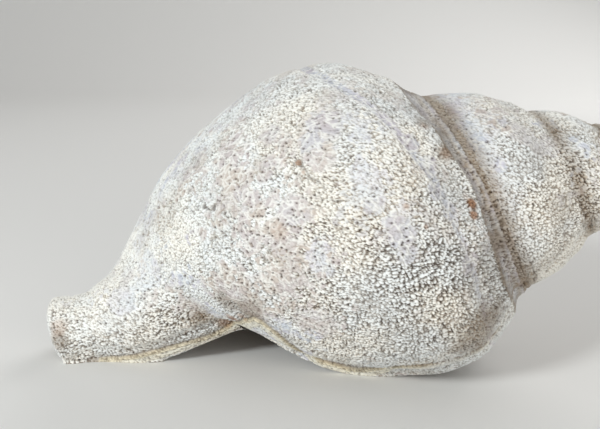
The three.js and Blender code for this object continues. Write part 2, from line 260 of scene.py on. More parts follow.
def sheet(first_turn, last_turn, first_row, last_row, step):
    """Rows, turns and triangles of part of the outside, with points about a step in mm apart.
    Rows of smaller radius have fewer points, half as many at a time."""
    middle = 0.5 * (max(first_turn, LIP_TURN - 1) + min(last_turn, 0))
    middle = middle if first_turn < middle < last_turn else 0.5 * (first_turn + last_turn)
    dense = np.linspace(first_row, last_row, SAMPLES_ALONG)
    line = outside_place(dense, np.full_like(dense, middle))
    run = np.concatenate([[0], np.cumsum(np.linalg.norm(np.diff(line, axis=0), axis=1))])
    count = int(np.ceil(run[-1] / step))
    rows = np.interp(np.linspace(0, run[-1], count + 1), run, dense)
    widest_turn = np.full_like(rows, np.clip(0.0, first_turn, last_turn))
    radius = outside(rows, widest_turn)[1]
    widest = radius.max()
    multiple = 2 ** MOST_HALVINGS
    most = int(np.ceil(2 * np.pi * widest * (last_turn - first_turn) / step / multiple)) * multiple
    halvings = np.floor(np.log2(widest / np.maximum(radius, LEAST_RADIUS)) + HALVE_EARLIER)
    halvings = np.clip(halvings, 0, MOST_HALVINGS).astype(int)
    for i in range(1, len(halvings)):
        halvings[i] = np.clip(halvings[i], halvings[i - 1] - 1, halvings[i - 1] + 1)
    counts = most // 2 ** halvings
    row_of, turn_of, starts = [], [], []
    start = 0
    for row, n in zip(rows, counts):
        row_of.append(np.full(n + 1, row))
        turn_of.append(np.linspace(first_turn, last_turn, n + 1))
        starts.append(start)
        start += n + 1
    triangles = []
    for i in range(len(rows) - 1):
        a, b, n, m = starts[i], starts[i + 1], counts[i], counts[i + 1]
        if n == m:
            j = np.arange(n)
            triangles.append(np.stack([a + j, b + j, b + j + 1], 1))
            triangles.append(np.stack([a + j, b + j + 1, a + j + 1], 1))
        elif n > m:
            j = np.arange(m)
            triangles.append(np.stack([a + 2 * j, b + j, a + 2 * j + 1], 1))
            triangles.append(np.stack([a + 2 * j + 1, b + j, b + j + 1], 1))
            triangles.append(np.stack([a + 2 * j + 1, b + j + 1, a + 2 * j + 2], 1))
        else:
            j = np.arange(n)
            triangles.append(np.stack([a + j, b + 2 * j, b + 2 * j + 1], 1))
            triangles.append(np.stack([a + j, b + 2 * j + 1, a + j + 1], 1))
            triangles.append(np.stack([a + j + 1, b + 2 * j + 1, b + 2 * j + 2], 1))
    return np.concatenate(row_of), np.concatenate(turn_of), np.concatenate(triangles)


# ---------------------------------------------------------------- the crust
# Bare patches of the crust: middle in mm, radius, how bare, and how bluish instead of pink.
BARE_PATCHES = [
    (-10.2, -36.4, 75.8, 5.0, 1.0, 0.5), (-12.0, -38.0, 72.0, 3.6, 0.9, 0.5),
    (-23.8, -31.4, 72.6, 3.3, 0.8, 0.2), (-19.9, -36.0, 70.7, 2.6, 0.8, 0.1),
    (-24.2, -37.0, 64.9, 3.2, 0.9, 0.1), (-10.2, -42.3, 68.7, 3.8, 0.8, 0.0),
    (-36.0, -24.4, 68.1, 2.2, 0.8, 0.1), (-30.5, -29.0, 68.9, 1.6, 0.8, 0.1),
    (-47.9, -18.4, 59.6, 2.4, 0.9, 0.1), (-32.2, -35.8, 57.1, 2.3, 0.9, 0.2),
    (-8.0, -29.8, 81.8, 1.9, 0.8, 0.1), (-16.4, -45.3, 55.1, 4.6, 0.9, 0.3),
    (-21.8, -44.2, 48.5, 3.4, 0.8, 0.0), (9.5, -51.6, 51.6, 4.4, 0.9, 0.6),
    (12.1, -52.2, 45.0, 2.8, 0.8, 0.6), (-9.3, -49.2, 43.4, 4.9, 0.7, 0.9),
    (-27.5, -36.4, 24.3, 4.4, 0.8, 0.1), (-10.9, -43.4, 23.6, 5.6, 0.8, 0.3),
    (3.1, -50.0, 57.6, 2.8, 0.8, 0.7), (12.6, -39.3, 71.4, 2.6, 1.0, 0.6),
    (17.6, -41.5, 65.6, 3.2, 1.0, 0.6), (19.2, -44.1, 60.7, 2.4, 0.9, 0.6),
    (23.3, -44.9, 54.8, 2.6, 0.9, 0.6), (28.7, -45.4, 41.0, 3.0, 0.9, 0.6),
    (-69.5, -16.0, 21.3, 4.4, 0.8, 1.0), (-62.0, -15.5, 30.0, 5.0, 0.6, 1.0),
    (26.8, -18.7, 77.0, 2.4, 0.9, 1.0), (28.1, -22.5, 74.7, 2.6, 0.9, 1.0),
    (31.8, -27.4, 70.5, 2.6, 0.9, 1.0), (37.2, -31.3, 64.6, 2.0, 0.8, 1.0),
    (37.1, -21.9, 75.1, 3.6, 0.7, 0.8), (43.7, -23.0, 72.6, 3.8, 0.6, 0.4),
    (49.0, -24.7, 67.5, 2.6, 0.6, 0.3), (52.5, -21.5, 68.0, 3.0, 0.6, 0.4),
]
# Rust stains, three of them painted shade in the hollow above the rim by the notch: middle in mm,
# radius, strength.
STAIN_AND_SHADE_SPOTS = [
    (29.1, -39.4, 55.8, 1.5, 1.0), (29.4, -41.6, 53.3, 1.3, 0.9), (28.2, -39.6, 58.4, 1.3, 0.6),
    (11.2, -49.9, 57.2, 1.0, 0.6), (16.3, -50.3, 52.1, 0.8, 0.6), (22.8, -35.8, 68.3, 2.2, 0.4),
    (17.1, -31.8, 75.0, 1.8, 0.3), (38.6, -7.1, 80.1, 2.2, 0.35), (-16.1, -41.1, 66.5, 0.8, 0.8),
    # The last spot on this line and the first two on the next are painted shade in that hollow.
    (-14.6, -43.0, 64.4, 0.6, 0.6), (-20.3, -44.4, 49.0, 2.4, 0.3), (-35.0, -25.0, 18.6, 2.6, 0.75),
    (-32.1, -30.4, 21.1, 1.8, 0.5), (-38.0, -13.7, 13.3, 2.2, 0.6), (-88.0, -14.5, 12.0, 2.4, 0.35),
]
# Brownish places, partly painted shade in the hollow by the notch and low down on the near side,
# partly brown staining: middle in mm, radius.
BROWN_AND_SHADE_PLACES = [
    (-28.9, -35.7, 24.6, 5.5), (-36.1, -31.4, 26.0, 4.5), (-87.4, -16.0, 8.0, 3.0),
    (34.7, -37.4, 20.2, 11.0), (34.0, -39.0, 24.0, 8.0),
    (22.3, -35.8, 68.9, 3.0), (17.3, -29.9, 75.5, 3.0),
    (-45.2, -17.4, 16.3, 4.0),
]
# Dark specks: middle in mm, radius.
DARK_SPECKS = [
    (-41.8, -30.0, 52.6, 0.8), (-39.0, -32.4, 52.5, 0.9), (-36.0, -34.3, 53.8, 0.8),
    (-71.3, -16.4, 6.8, 0.8), (-17.7, -31.2, 13.0, 0.8), (-11.9, -32.1, 11.4, 1.0),
    (-4.3, -30.1, 8.0, 0.9), (-15.6, -41.9, 66.0, 0.5), (-12.8, -44.0, 62.8, 0.5),
]
# Lines along the spiral, as turn and row.
GROOVE_LINE = [(-0.53, 0.5), (-0.4, 0.45), (-0.3, 0.378), (-0.27, 0.343), (-0.227, 0.338),
               (-0.188, 0.327), (-0.162, 0.367), (-0.132, 0.418), (-0.102, 0.481),
               (-0.069, 0.607), (-0.025, 0.699), (0.05, 0.74), (0.47, 0.72)]
# The crest of the shoulder, above the ramp down to the suture.
CREST_LINE = [(-0.53, 0.2), (-0.32, 0.2), (-0.29, 0.185), (-0.245, 0.162), (-0.213, 0.135),
              (-0.185, 0.13), (-0.16, 0.158), (-0.142, 0.182), (-0.098, 0.2), (-0.068, 0.225),
              (-0.02, 0.26), (0.05, 0.27), (0.15, 0.26), (0.47, 0.26)]
# Length of rows 0 to 1 at turn 0, in mm.
ROW_LENGTH = 47.0
# The crust lies at least this far, in mm, inside the smooth outside, which bulges past the
# solid's flat faces.
LEAST_DEPTH = 0.24
# The line above the rim, as row and turn: along the flange, round the notch and along the canal.
RIM_LINE = [(0.3, -0.4), (0.5, -0.39), (0.741, -0.3864), (0.974, -0.3787), (1.075, -0.3842),
            (1.146, -0.415), (1.195, -0.4232), (1.239, -0.4243), (1.268, -0.4221),
            (1.297, -0.4209), (1.308, -0.4), (1.314, -0.372), (1.318, -0.3475), (1.323, -0.324),
            (1.33, -0.304), (1.338, -0.294), (1.346, -0.283), (1.364, -0.275), (1.404, -0.285),
            (1.459, -0.325), (1.49, -0.385),
            (1.533, -0.4031), (1.575, -0.408), (1.629, -0.3987), (1.689, -0.3931),
            (1.744, -0.384), (1.807, -0.3853), (1.9, -0.39), (2.0, -0.4)]
# Cracks, as turn and row.
CRACKS = [
    [(-0.278, 0.5), (-0.291, 0.505), (-0.31, 0.509), (-0.33, 0.529), (-0.345, 0.56)],
    [(-1.335, 0.9), (-1.352, 0.903), (-1.38, 0.92), (-1.399, 0.946)],
    [(-1.263, 0.067), (-1.3, 0.05), (-1.324, 0.06), (-1.3565, 0.134)],
    [(-0.134, 1.03), (-0.15, 1.01), (-0.163, 0.985)],
]
# Noise in the crust: size in mm, salt (which keeps it apart from the others) and octaves.
LUMPS, PATCHES, FINE_PATCHES, DUST = (15, 11, 2), (20, 21, 3), (5, 31, 2), (9, 41, 2)
TINTS, HOLE_PLACES, SQUIGGLES = (18, 101, 1), (8, 91, 2), (1.5, 111, 1)
# The same for noise that moves places, one octave each, and for cells: size and salt.
WARP, RUFFLE, WARP_REACH, RUFFLE_REACH, RIDGE_WARP = (3.1, 401), (1.1, 431), 0.4, 0.14, 0.9
SMALL_BEADS, LARGE_BEADS, GRAINS, RIDGES = (0.9, 51), (0.98, 56), (0.62, 61), (2.9, 71)
PITS, DOTS, FLECKS = (1.2, 81), (0.8, 141), (1.6, 121)
CREVICE_WIDTH, CREVICE_POWER, GRAIN_WIDTH, GRAIN_POWER = 0.42, 2.1, 0.6, 2
HOLE_EDGE, RIDGE_EDGE, SQUIGGLE_EDGE = (0.28, 0.1), (0.03, 0.22), (0.16, 0.04)
PIT_EDGE, DOT_EDGE = (0.34, 0.18), (0.36, 0.2)
# Passages from none to full, in station, row or turn, and how coarse or bare some places are.
CANAL_STATIONS = (150, 168)
FLAKY_ROWS, FLAKY_ROWS_END, FLAKY_TURNS = (0.95, 1.2), (1.8, 1.6), (-0.27, -0.15)
COARSE_ROWS, COARSE_ROWS_END = (0.2, 0.32), (1.12, 0.9)
SHOULDER_ROWS, SHOULDER_ROWS_END, SHOULDER_COARSE = (0.14, 0.24), (0.5, 0.3), 0.55
UPPER_TURNS, LOWER_TURNS, FRONT_BEFORE = (-0.3, -0.22), (-0.14, -0.3), 0.2
CREST_TURNS, CREST_TURNS_END, CREST_BARE = (-0.07, -0.02), (0.3, 0.1), 0.85
COLLAR_ROWS, COLLAR_TURNS, COLLAR_BARE = (0.6, 0.85), (-1.3, -1.1), 0.65
FLANGE_ROWS, FLANGE_TURNS, RIM_ROWS = (1.25, 1.4), (-0.22, -0.3), (0.85, 1.15)
LAST_WHORL_ROW = 1.02
# The groove, and the stripe and the cord on the ramp, whose places are shares of its width.
GROOVE_LINE_WIDTH, GROOVE_FAINT, GROOVE_REST, GROOVE_TURNS = 1.7, 0.55, 0.45, (-0.3, -0.05)
HOLLOW_POWER = 1.2
STRIPE_PLACE, STRIPE_WIDTH = 0.62, 0.2
CORD_PLACE, CORD_WIDTH, CORD_TURNS = 0.34, 0.07, (0.02, -0.06)
# Strength of the bare look, and how bluish instead of pink.
GROOVE_BARE, STRIPE_BARE, CORD_BARE = (1.0, 0.75), (0.7, 1.0), (0.8, 1.0)
# The layered rim, in mm from its line.
RIM_REACH, STRIP_EDGE, CREAM_EDGE, ABOVE_RIM_EDGE = 6.0, (4.2, 3.2), (1.5, 1.0), (3.5, 0.6)
RIM_GROOVE_WIDTH, LAYER_PLACE, LAYER_WIDTH, CALM_EDGE = 0.42, 0.95, 0.2, (1.6, 0.9)
# Depths in mm.
CREVICE_DEPTH, COARSE_CREVICE, HOLE_DEPTH, DEEPER_HOLE = 0.5, 0.08, 0.2, 0.35
GRAIN_DEPTH, FLAKY_GRAIN, SQUIGGLE_DEPTH, BEAD_RISE, RIDGE_RISE = 0.12, 0.1, 0.3, 0.16, 0.16
PIT_DEPTH, DOT_DEPTH, SPECK_DEPTH, CRACK_DEPTH = 0.55, 0.25, 0.35, 0.45
LUMP_DEPTH, DUST_DEPTH, HOLLOW_DEPTH = 0.3, 0.12, 1.2
GROOVE_CUT, STRIPE_CUT, CORD_RISE = 0.5, 0.25, 0.5
RIM_GROOVE_DEPTH, ABOVE_RIM_DEPTH, LAYER_DEPTH = 0.55, 0.45, 0.22
# How far the painted shade along a suture reaches on either side of it, in mm.
SUTURE_SHADE_BELOW, SUTURE_SHADE_ABOVE = 2.2, 2.6
# A crack's width in mm, and the turns over which its ends fade.
CRACK_WIDTH, CRACK_FADE = 0.22, 0.004
# Soft edges of the spots, in radii, and how ragged they are.
BARE_EDGE, STAIN_AND_SHADE_EDGE, BROWN_AND_SHADE_EDGE, SPECK_EDGE = (1.15, 0.8), (1.3, 0.4), (1.4, 0.3), (1.2, 0.5)
RAGGED, SPECK_RAGGED = 0.4, 0.5
LINE_SPACING, POINTS_AT_ONCE, RIM_SAMPLES = 0.3, 4000, 300


def from_line(points, line_places, reach):
    """Distance in mm of each point from a line through places, up to a reach."""
    run = np.concatenate([[0], np.cumsum(np.linalg.norm(np.diff(line_places, axis=0), axis=1))])
    spots = np.linspace(0, run[-1], int(run[-1] / LINE_SPACING) + 2)
    fine = np.stack([np.interp(spots, run, line_places[:, k]) for k in range(3)], 1)
    found = np.full(len(points), reach)
    low, high = fine.min(0) - reach, fine.max(0) + reach
    close = np.nonzero(((points > low) & (points < high)).all(1))[0]
    for start in range(0, len(close), POINTS_AT_ONCE):
        some = close[start:start + POINTS_AT_ONCE]
        gap = np.linalg.norm(points[some][:, None] - fine[None], axis=2)
        found[some] = np.minimum(reach, gap.min(1))
    return found


def away_from(points, x, y, z, size):
    """Distance of each point from a spot, in radii of the spot."""
    return np.linalg.norm(points - np.array([x, y, z]), axis=1) / size


def spotted(points, spots, edge, ragged):
    """How much each point belongs to one of several spots: middle, radius and maybe strength."""
    found = np.zeros(len(points))
    for x, y, z, size, *strength in spots:
        share = smooth(*edge, away_from(points, x, y, z, size) + ragged)
        found = np.maximum(found, strength[0] * share if strength else share)
    return found


def beads(points, size, salt):
    """Crevices between the beads, holes where three of them meet, and each bead's chance."""
    near, second, third, chance = cells(points, size, salt)
    crevice = (1 - unit((second - near) / CREVICE_WIDTH)) ** CREVICE_POWER
    return crevice, smooth(*HOLE_EDGE, third - near), chance


def lay_bare(bare, bluish, share, blue):
    """Bareness and its tint after another bare place is added."""
    return np.maximum(bare, share), np.where(share > bare, blue, bluish)


def crust(points, row, turn):
    """How far the crust lies below the outside, in mm, and the masks that its colours use."""
    along = growth(turn)[0]
    last = turn > LAST_WHORL_FROM
    front = last & (turn < FRONT_BEFORE)

    def in_mm(rows):
        return rows * ROW_LENGTH * along

    def offset(line):
        turns, rows = np.array(line).T
        return in_mm(row - np.interp(turn, turns, rows))

    # Numbers without a name are the shares that each part has in a mixture.
    # Kinds of crust: where it is flaky, where its beads are coarser, and noise for all of it.
    warp = soft_vectors(points, *WARP)
    bent = points + WARP_REACH * warp + RUFFLE_REACH * soft_vectors(points, *RUFFLE)
    lumps, patch = soft_noise(points, *LUMPS), soft_noise(points, *PATCHES)
    fine_patch, dusty = soft_noise(points, *FINE_PATCHES), soft_noise(points, *DUST)
    on_canal = smooth(*CANAL_STATIONS, outside(row, turn)[0])
    flaky = smooth(*FLAKY_ROWS, row) * smooth(*FLAKY_ROWS_END, row) * smooth(*FLAKY_TURNS, turn)
    flaky = flaky * last
    coarse = smooth(*COARSE_ROWS_END, row) * smooth(*COARSE_ROWS, row) * last
    on_shoulder = SHOULDER_COARSE * smooth(*SHOULDER_ROWS_END, row) * smooth(*SHOULDER_ROWS, row)
    coarse = unit(np.maximum(coarse, on_shoulder) + 0.35 * dusty)
    low = smooth(*LOWER_TURNS, turn) * last

    # Bare places, pink or bluish.
    flecks = cells(bent, *FLECKS)[3] - 0.5
    upper = smooth(*UPPER_TURNS, turn)
    mottle = patch + 0.7 * fine_patch + 0.9 * flecks + 0.3 * flaky - 0.35 * (1 - upper)
    bare = smooth(0.2, 0.5, mottle) * 0.9 * (1 - 0.5 * coarse)
    on_crest = smooth(*CREST_TURNS, turn) * smooth(*CREST_TURNS_END, turn)
    on_crest = on_crest * flaky * smooth(-0.5, 0.4, fine_patch)
    bare = np.maximum(bare, CREST_BARE * on_crest)
    bluish = np.maximum(smooth(-0.1, 0.7, soft_noise(points, *TINTS)), 0.9 * on_crest)
    for *spot, strength, blue in BARE_PATCHES:
        away = away_from(points, *spot) + RAGGED * fine_patch + 0.3 * flecks
        bare, bluish = lay_bare(bare, bluish, strength * smooth(*BARE_EDGE, away), blue)
    collar = smooth(*COLLAR_ROWS, row + 0.12 * fine_patch) * smooth(*COLLAR_TURNS, turn) * (~last)
    bare, bluish = lay_bare(bare, bluish, COLLAR_BARE * collar, 1.0)
    bare = bare * (1 - 0.5 * on_canal)

    # The groove along the whorl and the ramp above the shoulder, with its cord.
    whorl = last & (row < LAST_WHORL_ROW)
    groove = np.where(whorl, bell(offset(GROOVE_LINE) + 0.25 * fine_patch, GROOVE_LINE_WIDTH), 0)
    groove = groove * (GROOVE_FAINT + GROOVE_REST * smooth(*GROOVE_TURNS, turn))
    turns, rows = np.array(CREST_LINE).T
    on_ramp = unit(row / np.interp(turn, turns, rows))
    is_ramp = whorl & (on_ramp < 1)
    ramp_hollow = np.where(is_ramp, np.sin(np.pi * on_ramp ** HOLLOW_POWER), 0)
    stripe = np.where(is_ramp, bell(on_ramp - STRIPE_PLACE + 0.04 * dusty, STRIPE_WIDTH), 0)
    cord = np.where(is_ramp, bell(on_ramp - CORD_PLACE + 0.02 * dusty, CORD_WIDTH), 0)
    cord = cord * smooth(*CORD_TURNS, turn)
    bands = (groove, GROOVE_BARE), (stripe, STRIPE_BARE), (cord, CORD_BARE)
    for band, (strength, blue) in bands:
        share = strength * smooth(0.25, 0.7, band + 0.12 * fine_patch)
        bare, bluish = lay_bare(bare, bluish, share, blue)

    # The rim along the flange and the canal: a groove on its line and a layered strip below it.
    rows, turns = np.array(RIM_LINE).T
    dense = np.linspace(rows[0], rows[-1], RIM_SAMPLES)
    rim_line = outside_place(dense, np.interp(dense, rows, turns))
    to_rim = np.where(front, from_line(points, rim_line, RIM_REACH), RIM_REACH)
    below_rim = turn < np.interp(row, rows, turns)
    to_left = smooth(*RIM_ROWS, row)
    strip = np.where(below_rim, smooth(*STRIP_EDGE, to_rim), 0) * front * (0.25 + 0.75 * to_left)
    above_rim = np.where(below_rim, 0, smooth(*ABOVE_RIM_EDGE, to_rim)) * front
    rim_groove = bell(to_rim, RIM_GROOVE_WIDTH) * front * (0.2 + 0.8 * to_left)
    cream = strip * (0.55 + 0.45 * smooth(*CREAM_EDGE, to_rim + 0.4 * fine_patch))
    layers = bell(to_rim - LAYER_PLACE, LAYER_WIDTH) * strip

    # Beads, finer grain, worm-like squiggles and thin raised ridges.
    small, large = beads(bent, *SMALL_BEADS), beads(bent, *LARGE_BEADS)
    crevice, hole, chance = (a * (1 - coarse) + b * coarse for a, b in zip(small, large))
    near, second = cells(bent, *GRAINS)[:2]
    grain = (1 - unit((second - near) / GRAIN_WIDTH)) ** GRAIN_POWER
    squiggle = smooth(*SQUIGGLE_EDGE, np.abs(soft_noise(bent, *SQUIGGLES)))
    squiggle = squiggle * smooth(0.0, 0.7, dusty + fine_patch) * last
    near, second = cells(bent + RIDGE_WARP * warp, *RIDGES)[:2]
    ridge = 1 - smooth(*RIDGE_EDGE, second - near)

    holes_here = unit(0.45 + 0.25 * soft_noise(points, *HOLE_PLACES) + 0.1 * low)
    strength = (1 - 0.75 * bare) * (1 - 0.2 * flaky) * (1 + 0.35 * low * (1 - on_canal))
    on_flange = 0.35 * smooth(*FLANGE_ROWS, row) * smooth(*FLANGE_TURNS, turn) * last
    strength = strength * (1 + on_flange)
    strength = strength * (1 + 0.15 * (~last)) * (1 - 0.45 * strip) * (1 - 0.2 * on_canal)
    depth = strength * (CREVICE_DEPTH + COARSE_CREVICE * coarse) * crevice
    depth += strength * (HOLE_DEPTH + DEEPER_HOLE * holes_here) * hole
    depth += ((GRAIN_DEPTH + FLAKY_GRAIN * flaky) * grain * (1 - 0.6 * bare)
              + SQUIGGLE_DEPTH * squiggle * flaky)
    depth += BEAD_RISE * strength * (chance - 0.5)
    depth += RIDGE_RISE * np.maximum(bare, 0.7 * flaky) * (1 - ridge)

    # Pits and dots, low lumps, groove, ramp, rim, cracks and specks.
    pit_near, _, _, pit_chance = cells(points, *PITS)
    pit_share = 0.25 + 0.35 * holes_here + 0.3 * bare + 0.2 * low
    pit = smooth(*PIT_EDGE, pit_near) * (pit_chance < pit_share)
    dot_near, _, _, dot_chance = cells(points, *DOTS)
    dot = smooth(*DOT_EDGE, dot_near) * (dot_chance < 0.28 + 0.1 * flaky)
    depth += PIT_DEPTH * pit + DOT_DEPTH * dot
    depth += LUMP_DEPTH * (lumps * 0.5 + 0.5) + DUST_DEPTH * dusty
    depth += GROOVE_CUT * groove + STRIPE_CUT * stripe - CORD_RISE * cord
    depth += HOLLOW_DEPTH * ramp_hollow
    depth = (depth * (1 - 0.5 * strip * smooth(*CALM_EDGE, to_rim))
             + RIM_GROOVE_DEPTH * rim_groove + ABOVE_RIM_DEPTH * above_rim)
    depth += LAYER_DEPTH * layers
    crack = np.zeros(len(points))
    for line in map(sorted, CRACKS):
        begun = smooth(-CRACK_FADE, 0.0, turn - line[0][0])
        close = begun * smooth(CRACK_FADE, 0.0, turn - line[-1][0])
        crack = np.maximum(crack, close * bell(offset(line) + 0.5 * warp[:, 0], CRACK_WIDTH))
    depth += CRACK_DEPTH * crack
    # Rust stains, three of them painted shade in a hollow.
    stain_and_shade = spotted(points, STAIN_AND_SHADE_SPOTS, STAIN_AND_SHADE_EDGE, RAGGED * fine_patch)
    # Brownish places, partly painted shade.
    browned_and_shaded = spotted(points, BROWN_AND_SHADE_PLACES, BROWN_AND_SHADE_EDGE, RAGGED * fine_patch)
    speck = spotted(points, DARK_SPECKS, SPECK_EDGE, SPECK_RAGGED * fine_patch)
    depth += SPECK_DEPTH * speck

    # Painted shade: dark in the pits, dots, holes where beads meet, cracks and dented specks.
    hole_shade = np.maximum(np.maximum(pit, 0.6 * dot), hole * unit(0.3 + holes_here) * strength)
    hole_shade = np.maximum(hole_shade, np.maximum(0.7 * crack, 0.8 * speck))
    # Painted shade: brown in the crease along each suture and over the hollow ramp above the
    # shoulder, which faces away from the light.
    suture_shade = bell(in_mm(row), SUTURE_SHADE_BELOW) + 0.8 * bell(in_mm(1 - row), SUTURE_SHADE_ABOVE) * (~last)
    ramp_shade = 0.95 + 0.3 * fine_patch + 0.2 * dusty - 0.4 * stripe - 0.5 * cord
    masks = {
        # Painted shade in the crevices between beads, in the rim's groove and layer lines and in
        # the squiggles, a little stronger low down.
        "crevice": unit(crevice * strength * (0.9 + 0.1 * low) + 0.35 * grain
                        + 0.9 * rim_groove + 0.5 * layers + 0.7 * squiggle * flaky),
        "hole_shade": unit(hole_shade),
        "bare": bare * (1 - strip),
        "bluish": bluish,
        "ridge": unit(ridge * np.maximum(bare, 0.7 * flaky)),
        # Rust, and painted shade in the hollow by the notch.
        "stain_and_shade": unit(stain_and_shade),
        "cream": cream,
        # Painted shade on the sutures, the ramp's hollow, the shaded places and the recess above
        # the rim, with some brown tone that varies at random and some staining.
        "brown_and_shade": unit(suture_shade * (0.9 + 0.35 * dusty) + ramp_shade * smooth(0.0, 0.4, ramp_hollow)
                      + 0.15 * smooth(0.3, 0.9, dusty) + 0.7 * browned_and_shaded + 0.35 * above_rim),
        "chance": chance,
    }
    return np.maximum(depth, LEAST_DEPTH), masks


def to_mesh(name, places, triangles, masks):
    mesh = bpy.data.meshes.new(name)
    mesh.vertices.add(len(places))
    mesh.vertices.foreach_set("co", (places * MM).astype(np.float32).ravel())
    mesh.loops.add(3 * len(triangles))
    mesh.loops.foreach_set("vertex_index", triangles.astype(np.int32).ravel())
    mesh.polygons.add(len(triangles))
    mesh.polygons.foreach_set("loop_start", np.arange(0, 3 * len(triangles), 3, dtype=np.int32))
    mesh.polygons.foreach_set("loop_total", np.full(len(triangles), 3, dtype=np.int32))
    mesh.polygons.foreach_set("use_smooth", np.ones(len(triangles), dtype=bool))
    for key, values in masks.items():
        layer = mesh.attributes.new(key, "FLOAT", "POINT")
        layer.data.foreach_set("value", np.asarray(values, np.float32))
    mesh.update()
    mesh.validate()
    obj = bpy.data.objects.new(name, mesh)
    bpy.context.scene.collection.objects.link(obj)
    return obj


def add_piece(obj, material):
    obj.data.materials.append(material)
    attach(obj, "root")
    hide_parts(NODE)


node_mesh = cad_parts[NODE].data
node_points = np.empty(3 * len(node_mesh.vertices), np.float32)
node_mesh.vertices.foreach_get("co", node_points)
node_points = node_points.reshape(-1, 3).astype(float) / MM
node_mesh.calc_loop_triangles()
node_triangles = np.empty(3 * len(node_mesh.loop_triangles), np.int32)
node_mesh.loop_triangles.foreach_get("vertices", node_triangles)
node_triangles = node_triangles.reshape(-1, 3)
solid = BVHTree.FromPolygons([tuple(p) for p in node_points], [tuple(t) for t in node_triangles])

# The most triangles in one piece, and steps between points in mm.
FINE_LIMIT = 190000
STEP_NEAR = 0.30
STEP_FAR = 0.46
STEP_SPIRE = 0.34
# Name, first and last turn, first and last row, step.
SHEETS = [
    ("near_body", -0.53, 0.07, 0.0, 2.999, STEP_NEAR),
    ("far_body", 0.062, 0.47, 0.0, 2.999, STEP_FAR),
    ("far_whorl", -0.932, -0.53, 0.0, 1.03, STEP_FAR),
    ("near_whorl", -1.53, -0.925, 0.0, 1.03, STEP_NEAR),
    ("spire_back", -1.935, -1.53, 0.0, 1.03, STEP_FAR),
    ("spire_front", -2.53, -1.93, 0.0, 1.03, STEP_SPIRE),
    ("spire_end", -5.53, -2.53, 0.0, 1.03, STEP_SPIRE),
]
# Points below this height, or beyond this station, stay only where the solid has a face near.
CUT_HEIGHT, CUT_STATION = 16.0, 160
AWAY_FROM_SOLID = 0.75
# The relief fades out over this height above the floor.
FLOOR_FADE = 0.7
LEAST_CROSS = 1e-6


def make_crust(name, first_turn, last_turn, first_row, last_row, step, material):
    row, turn, triangles = sheet(first_turn, last_turn, first_row, last_row, step)
    points = outside_place(row, turn)
    normal = outside_normal(row, turn)
    if np.mean(np.einsum("ij,ij->i", normal, points - points.mean(0))) < 0:
        normal = -normal
    flat = points.copy()
    flat[:, 2] = np.maximum(flat[:, 2], 0.0)
    station = outside(row, turn)[0]
    kept = np.ones(len(points), bool)
    for i in np.nonzero((flat[:, 2] < CUT_HEIGHT) | (station > CUT_STATION))[0]:
        kept[i] = solid.find_nearest(flat[i])[3] < AWAY_FROM_SOLID
    depth, masks = crust(points, row, turn)
    depth = depth * smooth(0.0, FLOOR_FADE, points[:, 2])
    moved = points - normal * depth[:, None]
    moved[:, 2] = np.maximum(moved[:, 2], 0.0)
    grounded = points[:, 2] <= 0.0
    moved[grounded] = flat[grounded]
    triangles = triangles[kept[triangles].all(1)]
    a, b, c = (moved[triangles[:, k]] for k in range(3))
    triangles = triangles[np.linalg.norm(np.cross(b - a, c - a), axis=1) > LEAST_CROSS]
    pieces = int(np.ceil(len(triangles) / FINE_LIMIT))
    for k in range(pieces):
        part = triangles[k * len(triangles) // pieces:(k + 1) * len(triangles) // pieces]
        used, inverse = np.unique(part, return_inverse=True)
        label = f"crust_{name}" if pieces == 1 else f"crust_{name}_{k + 1}"
        own_masks = {key: values[used] for key, values in masks.items()}
        add_piece(to_mesh(label, moved[used], inverse.reshape(-1, 3), own_masks), material)


# ---------------------------------------------------------------- materials
# Colours as a screen shows them, 0 to 255. Two together are the ends of a soft variation.
WHITES, DULL_WHITE = ((245, 243, 236), (237, 240, 240)), (217, 206, 188)
PINKS, BLUES = ((196, 186, 185), (194, 181, 170)), ((200, 206, 216), (196, 193, 207))
# The brown film and the rust are partly painted shade; the crevice browns and the dark are painted
# shade.
RIDGE_WHITE, BROWN_FILM_AND_SHADE, CREAM = (243, 243, 238), (138, 121, 101), (232, 222, 192)
CREVICE_SHADE_BROWNS, RUST_AND_SHADE, HOLE_SHADE = ((152, 124, 88), (134, 117, 95)), (150, 96, 38), (74, 58, 44)
INSIDE_PALES, INSIDE_BROWN = ((226, 214, 192), (205, 178, 150)), (160, 138, 112)


def node_material(name):
    material = bpy.data.materials.new(name)
    material.use_nodes = True
    tree = material.node_tree
    for old in list(tree.nodes):
        tree.nodes.remove(old)
    output = tree.nodes.new("ShaderNodeOutputMaterial")
    shader = tree.nodes.new("ShaderNodeBsdfPrincipled")
    tree.links.new(shader.outputs["BSDF"], output.inputs["Surface"])
    return material, tree, shader


def attribute(tree, name):
    found = tree.nodes.new("ShaderNodeAttribute")
    found.attribute_name = name
    return found.outputs["Fac"]


def noise(tree, scale, detail, coordinates):
    found = tree.nodes.new("ShaderNodeTexNoise")
    found.inputs["Scale"].default_value = scale
    found.inputs["Detail"].default_value = detail
    tree.links.new(coordinates, found.inputs["Vector"])
    return found.outputs["Fac"]


def ramp(tree, value, low, high, from_value=0.0, to_value=1.0):
    found = tree.nodes.new("ShaderNodeMapRange")
    found.interpolation_type = "SMOOTHSTEP"
    found.inputs["From Min"].default_value = low
    found.inputs["From Max"].default_value = high
    found.inputs["To Min"].default_value = from_value
    found.inputs["To Max"].default_value = to_value
    tree.links.new(value, found.inputs["Value"])
    return found.outputs["Result"]


def mix(tree, share, first, second):
    found = tree.nodes.new("ShaderNodeMix")
    found.data_type = "RGBA"
    tree.links.new(share, found.inputs[0])
    for socket, value in ((found.inputs[6], first), (found.inputs[7], second)):
        if isinstance(value, tuple):
            socket.default_value = (*value, 1)
        else:
            tree.links.new(value, socket)
    return found.outputs[2]


